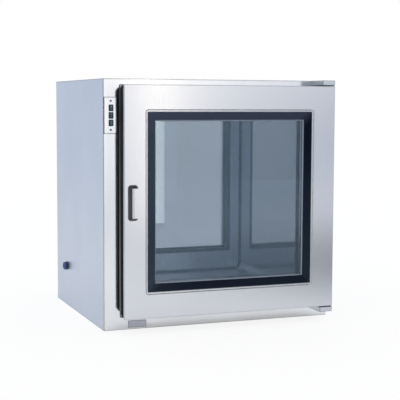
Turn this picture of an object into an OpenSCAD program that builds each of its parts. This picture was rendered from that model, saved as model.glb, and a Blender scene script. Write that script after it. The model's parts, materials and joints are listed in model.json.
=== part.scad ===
// Cleanroom pass box: a stainless cabinet that stands in a wall, with a coved
// chamber through it and a gasketed, double-glazed door on each face.
// Millimetres. X runs to the right of the front face, Y from front to rear and
// Z up. The origin is the centre of the underside of the case.

/* [Case] */
// Width of the case
case_w = 740; // [700:10:1000]
// Height of the case
case_h = 750; // [730:10:1000]
// Depth of the case between its two faces
case_d = 590; // [520:10:800]
// Thickness of the case sheets
sheet = 1.2; // [0.8:0.1:1.5]
// Thickness of the front and rear frames
frame_sheet = 1.5; // [1.2:0.1:2]
// Depth of the folded flanges of the case sheets and frames
fold = 20; // [12:1:30]
// Outer radius of a folded edge
fold_r = 1.5; // [0.5:0.1:1.5]

/* [Chamber] */
// Case left of the chamber
chamber_left = 70; // [66:1:80]
// Case right of the chamber
chamber_right = 48; // [47:1:60]
// Height of the chamber floor above the underside
floor_z = 67; // [66:1:80]
// Height of the bay above the chamber, which holds the lamps and the electrics
head_room = 73; // [73:1:120]
// Radius of the coved corners
cove_r = 25; // [10:1:40]
// Thickness of the chamber sheets
liner = 1.2; // [0.8:0.1:1.5]

/* [Door] */
// Case face left of the door
reveal_left = 40; // [38:1:44]
// Case face right of the door
reveal_right = 18; // [16:1:19]
// Case face above the door
reveal_top = 17.5; // [17.5:0.5:22]
// Case face below the door
reveal_bottom = 45; // [43:1:46]
// Height of the soft gasket between door and case
gasket_h = 28; // [26:1:32]
// Width of the gasket
gasket_w = 16; // [12:0.5:16]
// Wall of the hollow gasket
gasket_wall = 2.5; // [1.5:0.1:3]
// Distance of the gasket in from the door's edge
gasket_inset = 5; // [3:1:6]
// Depth of the inner pan's edge
inner_edge = 12; // [8:1:16]
// How far the inner pan's middle is pressed out towards the chamber
panel_rise = 18; // [10:1:22]
// Gap between the pressed panel and the chamber's mouth
panel_gap = 4; // [3:0.5:12]
// Thickness of the door's core
core_t = 30; // [28:1:40]
// Depth of the outer pan's edge
outer_edge = 8; // [6:1:12]
// Corner radius of the pans
pan_r = 3; // [2:0.5:6]
// Corner radius of the core and the gasket
soft_r = 12; // [10:1:20]

/* [Window] */
// Door left of the clear glass
rim_left = 96.5; // [88:0.5:130]
// Door right of the clear glass
rim_right = 102.5; // [80:0.5:130]
// Door above the clear glass
rim_top = 103; // [80:0.5:130]
// Door below the clear glass
rim_bottom = 101.5; // [80:0.5:130]
// How much nearer the hinges the rear door's glass lies
rear_slide = 22; // [0:1:30]
// Width of the bevelled glazing frame
glazing_w = 23.5; // [20:0.5:26]
// How far the glazing frame stands proud of the door
glazing_proud = 0.6; // [0:0.1:2]
// Drop of the glazing frame's bevel towards the glass
glazing_drop = 6; // [3:0.5:7]
// Width of the pressed step round the window
step_w = 7; // [5:0.5:8]
// Depth of the pressed step
step_d = 2; // [1:0.1:3]
// Thickness of one pane
pane_t = 5; // [4:1:6]
// Gap between the panes
pane_gap = 12; // [9:1:12]
// Width of the spacer bar between the panes
spacer_w = 12; // [9:0.5:14]
// How far the panes reach behind the glazing frame
pane_hold = 8; // [6:0.5:10]

/* [Handle] */
// Width of the flush pull
pull_w = 30; // [26:1:34]
// Height of the flush pull
pull_h = 104; // [90:1:140]
// Depth of the pull's cup
pull_depth = 23; // [16:1:24]
// Distance of the pull from the door's edge
pull_inset = 12; // [10:1:16]
// Height of the pull's middle above the door's middle
pull_rise = 0; // [-60:1:60]
// Width of the grip tongue across the pull
grip_w = 15.5; // [12:0.5:17]
// Gap above the grip tongue
grip_gap_top = 10; // [5:0.5:14]
// Gap below the grip tongue
grip_gap_bottom = 5.5; // [4:0.5:14]

/* [Hinges] */
// Width of a hinge block
block_w = 43; // [36:1:50]
// Height of a hinge block
block_h = 15; // [12:1:15]
// Gap between door and hinge block
hinge_gap = 2.5; // [2:0.1:2.5]
// Diameter of the hinge pin
pin_d = 10; // [8:1:12]
// Distance of the pin from the door's edge
pin_inset = 12; // [11:1:14]
// Distance of the pin from the case face
pin_out = 50; // [48:1:58]
// Running clearance round the pin, on the radius
pin_clear = 0.05; // [0.02:0.01:0.1]
// Length of the pin inside the door
pin_reach = 20; // [14:1:24]

/* [Control plate] */
// Width of the control plate
plate_w = 39; // [36:1:42]
// Height of the control plate
plate_h = 106; // [96:1:120]
// Thickness of the control plate
plate_t = 2.5; // [1.5:0.1:3]
// Distance of the plate from the case's left edge
plate_inset = 3; // [2:0.5:4]
// Distance of the plate's middle below the top of the case
plate_drop = 108; // [90:1:190]
// Distance between two rocker switches
rocker_pitch = 22; // [20:0.5:24]
// Half of the angle through which a rocker tips
rocker_tilt = 7; // [4:0.5:8]

/* [Lamps] */
// Length of the ultraviolet tube
tube_l = 437; // [280:1:437]
// Diameter of the ultraviolet tube
tube_d = 26; // [16:1:26]
// Depth of the lamp housing above the chamber
housing_h = 46; // [42:1:50]
// Length of the diffuser
diffuser_l = 440; // [300:1:480]
// Width of the diffuser
diffuser_w = 60; // [50:1:70]

/* [Cable gland] */
// Diameter of the cable bore
cable_d = 10; // [6:1:11]
// Outer diameter of the dome nut
dome_d = 26; // [24:1:32]
// Height of the gland above the underside
gland_z = 133; // [100:1:300]
// Distance of the gland from the rear face
gland_back = 140; // [130:1:200]

/* [Hidden] */
$fn = 64;

eps = 0.01;          // overshoot of a cutter past a face
over = 1;            // overshoot of a cutter where there is room
seam = 0.2;          // gap at a welded or bonded seam
free = 0.3;          // gap between a soft piece and its seat
frame_r = min(fold_r, frame_sheet - 0.3);   // the frame's edge, within its sheet

// Case and chamber, from the driving sizes
face_y = case_d / 2;
half_w = case_w / 2;
chamber_x0 = chamber_left - half_w;
chamber_x1 = half_w - chamber_right;
chamber_mid = (chamber_x0 + chamber_x1) / 2;
ceiling_z = case_h - head_room;
ceiling_leg = cove_r + 10;
wrap_top = ceiling_z - ceiling_leg;
roof_z = ceiling_z + liner;

// Door, as x and z in the face and as depth out of the face
door_x0 = reveal_left - half_w;
door_x1 = half_w - reveal_right;
door_z0 = reveal_bottom;
door_z1 = case_h - reveal_top;
door_mid = (door_z0 + door_z1) / 2;
panel_d = gasket_h - panel_rise;
core_d0 = gasket_h + inner_edge;
core_d1 = core_d0 + core_t;
door_d = core_d1 + outer_edge;
pin_x = door_x1 - pin_inset;

// Window
clear_x0 = door_x0 + rim_left;
clear_x1 = door_x1 - rim_right;
clear_z0 = door_z0 + rim_bottom;
clear_z1 = door_z1 - rim_top;
glass_d1 = core_d1 - 4;
spacer_d1 = glass_d1 - pane_t;
spacer_d0 = spacer_d1 - pane_gap;
glass_d0 = spacer_d0 - pane_t;
bevel_flat = 3;      // flat rim outside the bevel of the glazing frame
inner_lip = 10;      // opening of the inner pan, outside the clear glass

// Flush pull
pull_x0 = door_x0 + pull_inset;
pull_x1 = pull_x0 + pull_w;
pull_z0 = door_mid + pull_rise - pull_h / 2;
pull_z1 = pull_z0 + pull_h;
pull_r = 9;
cup_wall = 1.5;
cup_flange = 3;

// Hinge
pin_r = pin_d / 2;
bush_r = pin_r + 3;
bush_flange_r = bush_r + 2;
bush_flange_t = 1;
bush_l = pin_reach + 6;
pin_head_r = pin_r + 3;
pin_head_t = 3;
block_x1 = door_x1;
block_z1 = door_z1 + hinge_gap;

// Interlock, in the rail above the chamber
magnet_l = 150;
magnet_h = 24;
magnet_back = 18;
magnet_proud = 13;
magnet_x = chamber_x0 + 55;
magnet_z = roof_z + seam + frame_sheet + 3.1;
armature_t = 8;
armature_lug_r = 5;
sensor_r = 4.75;
sensor_x = magnet_x - 25;
sensor_z = magnet_z + magnet_h / 2;
sensor_l = 22;
sensor_magnet_t = 6;

// Control plate and rocker switches
plate_x0 = plate_inset - half_w;
plate_x = plate_x0 + plate_w / 2;
plate_z = case_h - plate_drop;
plate_z0 = plate_z - plate_h / 2;
plate_screw_inset = 10.5;
plate_screw_r = 1.6;
rocker_x = plate_x + 1;
bezel_w = 13.4;
bezel_h = 18.4;
bezel_t = 1.2;
rocker_w = 10;
rocker_l = 14.4;
rocker_gap = 0.35;
rocker_rise = 2.2;   // height of the rocker's crown above its pivot
pivot_r = 1.2;
pivot_l = 0.8;
pivot_d = plate_t + bezel_t - 0.6;
housing_depth = 20;
rocker_zs = [for (i = [1, 0, -1]) plate_z + i * rocker_pitch];

// Lamps, over the middle of the ceiling
lamp_bay_l = tube_l + 38;
lamp_bay_w = tube_d + 34;
tube_y = -55;
diffuser_y = 55;
housing_l = max(lamp_bay_l, diffuser_l) + 20;
housing_w = 190;
housing_flange = 14;
diffuser_lip = 6;
diffuser_t = 3;
tube_z = roof_z + 2 + tube_d / 2;
tube_cap_l = 20;
tube_pin_l = 7;
tube_pin_r = 1.2;

// The electrics stand on the chamber's roof, between the lamps and each face
electrics_y = (housing_w / 2 + housing_flange + face_y - fold) / 2;
board_t = 1.6;       // thickness of a circuit board

// Service cover, lapped over an opening in the top cover
service_w = 260;
service_depth = 180;
service_back = 75;
service_y = face_y - service_back - service_depth / 2;
service_lap = 15;
service_t = 1.2;
service_screw_r = 2;

// Cable gland in the left side panel
cable_r = cable_d / 2;
gland_r = cable_r + 3;
gland_hex = 24;
gland_y = face_y - gland_back;
gland_collar = 5;
dome_l = 9;
locknut_t = 5;

// ---------------------------------------------------------------- helpers

// A face frame of reference: x to the right, y up the face, z out of it
module on_face() {
    translate([0, -face_y, 0]) rotate([90, 0, 0]) children();
}

module on_front() {
    $slide = 0;
    on_face() children();
}

module on_rear() {
    $slide = rear_slide;
    mirror([0, 1, 0]) on_face() children();
}

// Moves what belongs to the window to its place in this face's door
module at_window() {
    translate([$slide, 0, 0]) children();
}

// A rectangle with round corners, from two corners
module round_rect(x0, x1, y0, y1, r) {
    translate([x0 + r, y0]) square([x1 - x0 - 2 * r, y1 - y0]);
    translate([x0, y0 + r]) square([x1 - x0, y1 - y0 - 2 * r]);
    for (x = [x0 + r, x1 - r], y = [y0 + r, y1 - r])
        translate([x, y]) circle(r);
}

// A slab of the face between two depths
module slab(d0, d1) {
    translate([0, 0, d0]) linear_extrude(d1 - d0) children();
}

// One straight length of a profile, running down from its start
module length_of(l) {
    rotate([90, 0, 0]) linear_extrude(l) children();
}

// A profile (outward, depth) carried round a rectangle with round corners
module round_ring(x0, x1, y0, y1, r) {
    w = x1 - x0 - 2 * r;
    h = y1 - y0 - 2 * r;
    translate([x1, y1 - r, 0]) length_of(h) children();
    translate([x0 + r, y1, 0]) rotate(90) length_of(w) children();
    translate([x0, y0 + r, 0]) rotate(180) length_of(h) children();
    translate([x1 - r, y0, 0]) rotate(270) length_of(w) children();
    corners = [[x1 - r, y1 - r], [x0 + r, y1 - r], [x0 + r, y0 + r], [x1 - r, y0 + r]];
    for (i = [0:3])
        translate([corners[i][0], corners[i][1], 0]) rotate(90 * i)
            rotate_extrude(angle = 90) translate([r, 0]) children();
}

// Four lengths of a profile (outward, depth), mitred at sharp corners
module mitred_ring(x0, x1, y0, y1, reach) {
    cx = (x0 + x1) / 2;
    cy = (y0 + y1) / 2;
    hw = (x1 - x0) / 2;
    hh = (y1 - y0) / 2;
    for (side = [0:3]) {
        a = side % 2 == 0 ? hw : hh;
        b = side % 2 == 0 ? hh : hw;
        translate([cx, cy, 0]) rotate(90 * side) intersection() {
            translate([a, b + reach, 0]) length_of(2 * (b + reach)) children();
            linear_extrude(door_d + 2 * reach)
                polygon([[a, -b], [a + reach, -b - reach], [a + reach, b + reach], [a, b]]);
        }
    }
}

// A square section with two outer corners rounded, as a folded sheet has
module folded_section(x0, x1, d0, d1, r) {
    translate([x0, d0]) square([x1 - x0, d1 - d0 - r]);
    translate([x0 + r, d0]) square([x1 - x0 - 2 * r, d1 - d0]);
    for (x = [x0 + r, x1 - r]) translate([x, d1 - r]) circle(r);
}

// A plate whose outline has round corners and whose outer edges are folded
module folded_block(x0, x1, y0, y1, d0, d1, corner, r) {
    intersection() {
        slab(d0, d1) round_rect(x0, x1, y0, y1, corner);
        translate([0, y1 + over, 0]) rotate([90, 0, 0]) linear_extrude(y1 - y0 + 2 * over)
            folded_section(x0, x1, d0, d1, r);
        translate([x0 - over, 0, 0]) rotate([90, 0, 90]) linear_extrude(x1 - x0 + 2 * over)
            folded_section(y0, y1, d0, d1, r);
    }
}

// The same plate with its folded edges on the inner side
module folded_back(x0, x1, y0, y1, d0, d1, corner, r) {
    translate([0, 0, d0 + d1]) mirror([0, 0, 1]) folded_block(x0, x1, y0, y1, d0, d1, corner, r);
}

// A pan-head screw with a cross slot, its head standing on the given plane
module pan_screw(r, head_r, head_t, l) {
    difference() {
        union() {
            cylinder(h = head_t, r = head_r);
            translate([0, 0, -l]) cylinder(h = l + eps, r = r);
        }
        for (a = [0, 90]) rotate(a)
            translate([-head_r * 0.6, -0.25, head_t - 0.5]) cube([head_r * 1.2, 0.5, 1]);
    }
}

// ---------------------------------------------------------------- case

// A side sheet with its upper and lower edges folded inwards
module side_panel() {
    run = case_d - 2 * frame_sheet;
    translate([-half_w, run / 2, 0]) rotate([90, 0, 0]) linear_extrude(run) {
        square([sheet, case_h]);
        for (z = [sheet, case_h - 2 * sheet]) translate([0, z]) square([fold, sheet]);
    }
}

module left_side_panel() {
    color("silver") difference() {
        side_panel();
        translate([-half_w - over, gland_y, gland_z]) rotate([0, 90, 0])
            cylinder(h = sheet + 2 * over, r = gland_r + seam);
    }
}

module right_side_panel() {
    color("silver") mirror([1, 0, 0]) side_panel();
}

module cover_sheet(z) {
    translate([-half_w + sheet, -face_y + frame_sheet, z])
        cube([case_w - 2 * sheet, case_d - 2 * frame_sheet, sheet]);
}

module top_cover() {
    color("silver") difference() {
        cover_sheet(case_h - sheet);
        translate([0, service_y, case_h - sheet - over]) {
            linear_extrude(sheet + 2 * over)
                round_rect(service_lap - service_w / 2, service_w / 2 - service_lap,
                           service_lap - service_depth / 2, service_depth / 2 - service_lap, 6);
            service_screw_places() cylinder(h = sheet + 2 * over, r = service_screw_r + seam);
        }
    }
}

module bottom_cover() {
    color("silver") cover_sheet(0);
}

module service_cover() {
    color("gainsboro") translate([0, service_y, case_h]) difference() {
        linear_extrude(service_t)
            round_rect(-service_w / 2, service_w / 2, -service_depth / 2, service_depth / 2, 6);
        service_screw_places() translate([0, 0, -over])
            cylinder(h = service_t + 2 * over, r = service_screw_r + seam);
    }
}

module service_screw_places() {
    for (x = [-1, 0, 1], y = [-1, 1])
        translate([x * (service_w - service_lap) / 2, y * (service_depth - service_lap) / 2, 0])
            children();
}

module service_cover_screws() {
    color("silver") translate([0, service_y, case_h + service_t])
        service_screw_places()
            pan_screw(service_screw_r, 2 * service_screw_r, 1.8, service_t + sheet + 4);
}

// The case face: a folded plate with a collar round the chamber's mouth
module face_frame() {
    mouth = liner + seam;
    collar = mouth + frame_sheet;
    difference() {
        union() {
            folded_block(-half_w, half_w, 0, case_h, -frame_sheet, 0, frame_r, frame_r);
            slab(-fold, -frame_sheet + eps) difference() {
                frame_tray(sheet + seam);
                frame_tray(sheet + seam + frame_sheet);
            }
            slab(-fold, -frame_sheet + eps)
                round_rect(chamber_x0 - collar, chamber_x1 + collar,
                           floor_z - collar, ceiling_z + collar, cove_r + collar);
        }
        slab(-fold - over, over)
            round_rect(chamber_x0 - mouth, chamber_x1 + mouth,
                       floor_z - mouth, ceiling_z + mouth, cove_r + mouth);
        slab(-frame_sheet - over, over)
            translate([magnet_x - seam, magnet_z - seam])
                square([magnet_l + 2 * seam, magnet_h + 2 * seam]);
        translate([sensor_x, sensor_z, -frame_sheet - over])
            cylinder(h = frame_sheet + 2 * over, r = sensor_r + seam);
    }
}

// Outline of the frame's outer return, inside the case sheets and their folds
module frame_tray(inset) {
    translate([inset - half_w, inset + sheet])
        square([case_w - 2 * inset, case_h - 2 * (inset + sheet)]);
}

module front_frame() {
    color("whitesmoke") on_front() difference() {
        face_frame();
        slab(-frame_sheet - over, over) for (z = rocker_zs)
            translate([rocker_x - bezel_w / 2 + 0.4, z - bezel_h / 2 + 0.4])
                square([bezel_w - 0.8, bezel_h - 0.8]);
        for (z = [plate_z0 + plate_screw_inset, plate_z0 + plate_h - plate_screw_inset])
            translate([plate_x, z, -frame_sheet - over])
                cylinder(h = frame_sheet + 2 * over, r = plate_screw_r);
    }
}

module rear_frame() {
    color("whitesmoke") on_rear() face_frame();
}

// Hat sections behind the side sheets, just clear of the gland's locknut
module side_stiffeners() {
    foot = 12;
    crown = 20;
    rise = 18;
    gap = 50;
    stiff_y = gland_y - gland_hex / cos(30) / 2 - crown / 2 - foot - over;
    color("silver") for (side = [0, 1], y = [-stiff_y, stiff_y]) mirror([side, 0, 0])
        translate([sheet - half_w, y, gap]) linear_extrude(case_h - 2 * gap) {
            for (s = [0, 1]) mirror([0, s]) {
                translate([0, crown / 2]) square([sheet, foot]);
                translate([0, crown / 2 - sheet]) square([rise, sheet]);
            }
            translate([rise - sheet, -crown / 2]) square([sheet, crown]);
        }
}

// ---------------------------------------------------------------- chamber

// Section across the chamber's mouth, grown outwards by some thickness
module chamber_section(grow) {
    round_rect(chamber_x0 - grow, chamber_x1 + grow,
               floor_z - grow, ceiling_z + grow, cove_r + grow);
}

module chamber_tube() {
    translate([0, face_y, 0]) rotate([90, 0, 0]) linear_extrude(case_d) difference() {
        chamber_section(liner);
        chamber_section(0);
    }
}

// Floor and both walls, folded from one sheet with coved corners
module chamber_wrap() {
    color("lightsteelblue") intersection() {
        chamber_tube();
        translate([-half_w, -case_d, 0]) cube([case_w, 2 * case_d, wrap_top]);
    }
}

// Ceiling with coved corners, open to the two lamps
module chamber_ceiling() {
    color("lightsteelblue") difference() {
        intersection() {
            chamber_tube();
            translate([-half_w, -case_d, wrap_top]) cube([case_w, 2 * case_d, case_h]);
        }
        lamp_window(lamp_bay_l - 16, lamp_bay_w - 6, tube_y);
        lamp_window(diffuser_l, diffuser_w, diffuser_y);
    }
}

module lamp_window(l, w, y) {
    translate([chamber_mid, y, ceiling_z - over]) linear_extrude(liner + 2 * over)
        round_rect(-l / 2, l / 2, -w / 2, w / 2, 4);
}

// ---------------------------------------------------------------- lamps

module lamp_housing() {
    inner_l = housing_l - 2 * sheet;
    inner_w = housing_w - 2 * sheet;
    color("gainsboro") translate([chamber_mid, 0, roof_z]) difference() {
        union() {
            linear_extrude(housing_h)
                square([housing_l, housing_w], center = true);
            linear_extrude(sheet)
                square([housing_l + 2 * housing_flange, housing_w + 2 * housing_flange], center = true);
        }
        difference() {
            translate([0, 0, -over]) linear_extrude(housing_h - sheet + over)
                square([inner_l, inner_w], center = true);
            translate([-housing_l / 2, -sheet / 2, 0]) cube([housing_l, sheet, housing_h]);
        }
    }
}

module led_diffuser() {
    color("white") translate([chamber_mid, diffuser_y, ceiling_z]) {
        linear_extrude(liner + eps)
            round_rect(seam - diffuser_l / 2, diffuser_l / 2 - seam,
                       seam - diffuser_w / 2, diffuser_w / 2 - seam, 4 - seam);
        translate([0, 0, liner]) linear_extrude(diffuser_t)
            square([diffuser_l + 2 * diffuser_lip, diffuser_w + 2 * diffuser_lip], center = true);
    }
}

// Strip board with its row of light-emitting diodes, on two end feet
module led_board() {
    margin = 10;
    strip_w = 24;
    rise = 14;
    chip = 5;
    chip_t = 1.5;
    foot = 8;
    count = 14;
    strip_l = diffuser_l - 2 * margin;
    color("white") translate([chamber_mid, diffuser_y, roof_z + diffuser_t]) {
        translate([0, 0, rise]) linear_extrude(board_t) square([strip_l, strip_w], center = true);
        for (i = [0:count - 1])
            translate([(i + 0.5) * strip_l / count - strip_l / 2, 0, rise - chip_t])
                linear_extrude(chip_t + eps) square(chip, center = true);
        for (s = [-1, 1]) translate([s * (strip_l - foot) / 2, 0, 0])
            linear_extrude(rise + eps) square([foot, strip_w], center = true);
    }
}

// Glass tube with two metal caps and their pins
module uv_tube() {
    r = tube_d / 2;
    half = tube_l / 2;
    color("azure") translate([chamber_mid, tube_y, tube_z]) {
        translate([-half, 0, 0]) rotate([0, 90, 0]) cylinder(h = tube_l, r = r - 1);
        for (s = [0, 1]) mirror([s, 0, 0]) {
            translate([half - tube_cap_l, 0, 0]) rotate([0, 90, 0])
                cylinder(h = tube_cap_l, r = r);
            for (y = [-1, 1])
                translate([half - eps, y * tube_d / 4.1, 0]) rotate([0, 90, 0])
                    cylinder(h = tube_pin_l + eps, r = tube_pin_r);
        }
    }
}

// Two lamp holders that stand on the ceiling and take the tube's pins
module uv_lamp_holders() {
    holder_t = 12;
    holder_w = tube_d + 2;
    holder_h = tube_z - roof_z + tube_d / 2;
    foot = lamp_bay_w / 2 + 3;
    foot_t = 3;
    wall = 2;
    color("white") for (s = [0, 1])
        translate([chamber_mid, 0, 0]) mirror([s, 0, 0])
            translate([tube_l / 2 + free, tube_y, roof_z]) difference() {
                union() {
                    translate([0, -holder_w / 2, 0]) cube([holder_t, holder_w, holder_h]);
                    translate([0, -foot, 0]) cube([holder_t, 2 * foot, foot_t]);
                }
                for (y = [-1, 1])
                    translate([-over, y * tube_d / 4.1, tube_z - roof_z]) rotate([0, 90, 0])
                        cylinder(h = holder_t - wall + over, r = tube_pin_r + seam);
            }
}

// ---------------------------------------------------------------- electrics

module uv_ballast() {
    l = 150;
    w = 40;
    h = 28;
    tab = 12;
    color("gainsboro") translate([chamber_x0 + tab + l / 2 + 30, electrics_y, roof_z]) {
        linear_extrude(h) square([l, w], center = true);
        linear_extrude(sheet) square([l + 2 * tab, w - 8], center = true);
    }
}

// Switched supply in a slotted sheet case
module power_supply() {
    l = 130;
    w = 60;
    h = 32;
    slot_w = 4;
    slots = 10;
    color("silver") translate([chamber_mid + l / 2, electrics_y, roof_z]) difference() {
        linear_extrude(h) square([l, w], center = true);
        for (i = [0:slots - 1])
            translate([((i + 0.5) / slots - 0.5) * (l - 2 * slot_w), 0, h - sheet])
                linear_extrude(sheet + over) square([slot_w, w - 4 * slot_w], center = true);
    }
}

// Board on four pillars, with three relays, a terminal strip and a controller
module interlock_board() {
    l = 96;
    w = 70;
    pillar = 8;
    corner = 5;
    relay = [19, 15, 15];
    strip = [80, 9, 11];
    chip = [14, 14, 2.5];
    color("seagreen") translate([chamber_x0 + l, -electrics_y, roof_z]) {
        translate([0, 0, pillar]) linear_extrude(board_t) square([l, w], center = true);
        for (x = [-1, 1], y = [-1, 1])
            translate([x * (l / 2 - corner), y * (w / 2 - corner), 0])
                cylinder(h = pillar + eps, r = 3);
        translate([0, 0, pillar + board_t - eps]) {
            for (i = [-1:1]) translate([(i - 0.5) * 1.25 * relay[0], corner, 0]) cube(relay);
            translate([-strip[0] / 2, corner - w / 2, 0]) cube(strip);
            translate([l / 2 - 2 * chip[0], -chip[1], 0]) cube(chip);
        }
    }
}

// Terminals in a row, two screw wells to each, with grooves between them
module terminal_block() {
    ways = 8;
    pitch = 9;
    w = 22;
    h = 18;
    well_r = 2.6;
    well = 6;
    groove = 1.2;
    color("beige") translate([chamber_mid + 50, -electrics_y, roof_z]) difference() {
        translate([0, -w / 2, 0]) cube([ways * pitch, w, h]);
        for (i = [0:ways - 1], y = [-w / 4, w / 4])
            translate([(i + 0.5) * pitch, y, h - well]) cylinder(h = well + over, r = well_r);
        for (i = [1:ways - 1])
            translate([i * pitch - groove / 2, -w / 2 - over, h - well / 2])
                cube([groove, w + 2 * over, well]);
    }
}

// Electromagnet bar: a steel body with two potted slots in its face
module interlock_magnet() {
    color("silver") translate([magnet_x, magnet_z, -magnet_back]) difference() {
        cube([magnet_l, magnet_h, magnet_back + magnet_proud]);
        for (y = [magnet_h * 0.25, magnet_h * 0.75])
            translate([6, y - 2, magnet_back + magnet_proud - 0.8])
                cube([magnet_l - 12, 4, 2]);
    }
}

module front_interlock_magnet() {
    on_front() interlock_magnet();
}

module rear_interlock_magnet() {
    on_rear() interlock_magnet();
}

module door_sensor() {
    translate([sensor_x, sensor_z, -sensor_l]) cylinder(h = sensor_l + 0.8, r = sensor_r);
    translate([sensor_x, sensor_z, 0]) cylinder(h = 1.2, r = sensor_r + 2);
}

module door_sensors() {
    color("white") {
        on_front() door_sensor();
        on_rear() door_sensor();
    }
}

// ---------------------------------------------------------------- controls

module plate_screw_places() {
    for (z = [plate_z0 + plate_screw_inset, plate_z0 + plate_h - plate_screw_inset])
        translate([plate_x, z, 0]) children();
}

module control_plate() {
    cut = 0.3;
    color("aliceblue") on_front() difference() {
        slab(0, plate_t) round_rect(plate_x0, plate_x0 + plate_w, plate_z0, plate_z0 + plate_h, 1.5);
        slab(-over, plate_t + over) for (z = rocker_zs)
            translate([rocker_x - bezel_w / 2 + cut, z - bezel_h / 2 + cut])
                square([bezel_w - 2 * cut, bezel_h - 2 * cut]);
        plate_screw_places() translate([0, 0, -over]) cylinder(h = plate_t + 2 * over, r = plate_screw_r);
    }
}

module control_plate_screws() {
    color("dimgray") on_front() translate([0, 0, plate_t])
        plate_screw_places() pan_screw(plate_screw_r - seam, 3, 1.2, 8);
}

// Switch housing: a bezel on the plate and a box behind it with pivot holes
module rocker_housing() {
    box_w = bezel_w - 1;
    box_h = bezel_h - 1;
    well_w = rocker_w + 2 * rocker_gap;
    well_h = rocker_l + 2 * rocker_gap + 0.6;
    difference() {
        union() {
            slab(plate_t, plate_t + bezel_t)
                round_rect(-bezel_w / 2, bezel_w / 2, -bezel_h / 2, bezel_h / 2, 1);
            slab(plate_t - housing_depth, plate_t + eps)
                square([box_w, box_h], center = true);
        }
        slab(pivot_d - 5.5, plate_t + bezel_t + over) square([well_w, well_h], center = true);
        translate([-rocker_w / 2 - pivot_l - rocker_gap, 0, pivot_d]) rotate([0, 90, 0])
            cylinder(h = rocker_w + 2 * (pivot_l + rocker_gap), r = pivot_r + pin_clear);
    }
    for (x = [-3, 3])
        translate([x - 0.4, -3, plate_t - housing_depth - 7]) cube([0.8, 6, 7 + eps]);
}

module rocker_housings() {
    color("darkslategray") on_front() for (z = rocker_zs)
        translate([rocker_x, z, 0]) rocker_housing();
}

// Rocker: two shallow faces that meet over the pivot, tipped to its off side
module rocker_at(z) {
    half = rocker_l / 2;
    on_front() translate([rocker_x, z, pivot_d]) rotate([-rocker_tilt, 0, 0]) {
        translate([-rocker_w / 2, 0, 0]) rotate([90, 0, 90]) linear_extrude(rocker_w)
            polygon([[-half, -1.5], [0, -3.2], [half, -1.5],
                     [half, rocker_rise], [0, rocker_rise - half * tan(rocker_tilt)],
                     [-half, rocker_rise]]);
        translate([-rocker_w / 2 - pivot_l, 0, 0]) rotate([0, 90, 0])
            cylinder(h = rocker_w + 2 * pivot_l, r = pivot_r);
    }
}

module light_rocker() {
    color("cadetblue") rocker_at(rocker_zs[0]);
}

module uv_rocker() {
    color("cadetblue") rocker_at(rocker_zs[1]);
}

module power_rocker() {
    color("cadetblue") rocker_at(rocker_zs[2]);
}

// Blank plate on the bottom rail, bare
module rail_plate() {
    w = 57;
    h = 21;
    x0 = 75 - half_w;
    z0 = (floor_z - frame_sheet - h) / 8;
    color("darkgray") on_front() slab(0, 1) round_rect(x0, x0 + w, z0, z0 + h, 1);
}

// ---------------------------------------------------------------- gland

// Along the gland: x is the axis, 0 at the panel's outer face, outwards
module on_gland() {
    translate([-half_w, gland_y, gland_z]) rotate([0, -90, 0]) children();
}

module gland_body() {
    inside = sheet + locknut_t + 4;
    color("black") on_gland() difference() {
        union() {
            cylinder(h = gland_collar, d = gland_hex / cos(30), $fn = 6);
            translate([0, 0, -inside]) cylinder(h = inside + eps, r = gland_r);
            cylinder(h = gland_collar + dome_l - 3, r = gland_r);
        }
        translate([0, 0, -inside - over])
            cylinder(h = inside + gland_collar + dome_l + 2 * over, r = cable_r);
    }
}

// Dome nut: a revolved cap with a rounded nose and a cable hole
module gland_dome_nut() {
    r = dome_d / 2;
    nose = 5;
    ledge = 0.6;
    color("midnightblue") on_gland() translate([0, 0, gland_collar]) difference() {
        rotate_extrude() difference() {
            union() {
                square([r, dome_l - nose]);
                square([r - nose, dome_l]);
                translate([r - nose, dome_l - nose]) circle(nose);
            }
            translate([-over - r, -over - nose]) square([r + over, dome_l + 2 * nose + 2]);
            square([gland_r + seam, dome_l - 3 + seam]);
            square([cable_r, dome_l + over]);
            translate([0, -nose - over]) square([r + over, nose + over]);
        }
        for (a = [0:15:345]) rotate(a)
            translate([r + 0.6, 0, -over]) cylinder(h = dome_l - nose - ledge + over, r = 1.4, $fn = 16);
    }
}

module gland_locknut() {
    color("black") on_gland() translate([0, 0, -sheet - locknut_t]) difference() {
        cylinder(h = locknut_t, d = gland_hex / cos(30), $fn = 6);
        translate([0, 0, -over]) cylinder(h = locknut_t + 2 * over, r = gland_r + pin_clear);
    }
}

// ---------------------------------------------------------------- hinges

// Places its children at the upper hinge and, turned over, at the lower one
module both_hinges() {
    children();
    turned_over() children();
}

module turned_over() {
    translate([0, door_mid, 0]) mirror([0, 1, 0]) translate([0, -door_mid, 0]) children();
}

module both_faces() {
    on_front() children();
    on_rear() children();
}

// Along a hinge pin: out of the door, from the door's edge
module on_pin() {
    translate([pin_x, door_z1, pin_out]) rotate([-90, 0, 0]) children();
}

module hinge_blocks() {
    edge = 2;
    color("silver") both_faces() both_hinges() difference() {
        translate([0, block_z1 + block_h, 0]) rotate([90, 0, 0]) linear_extrude(block_h) {
            translate([block_x1 - block_w, 0]) square([block_w, door_d - edge]);
            translate([block_x1 - block_w + edge, 0]) square([block_w - 2 * edge, door_d]);
            for (x = [block_x1 - block_w + edge, block_x1 - edge])
                translate([x, door_d - edge]) circle(edge);
        }
        on_pin() {
            cylinder(h = hinge_gap + block_h + over, r = pin_r + pin_clear);
            translate([0, 0, hinge_gap + block_h - pin_head_t])
                cylinder(h = pin_head_t + over, r = pin_head_r + seam);
        }
    }
}

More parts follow.
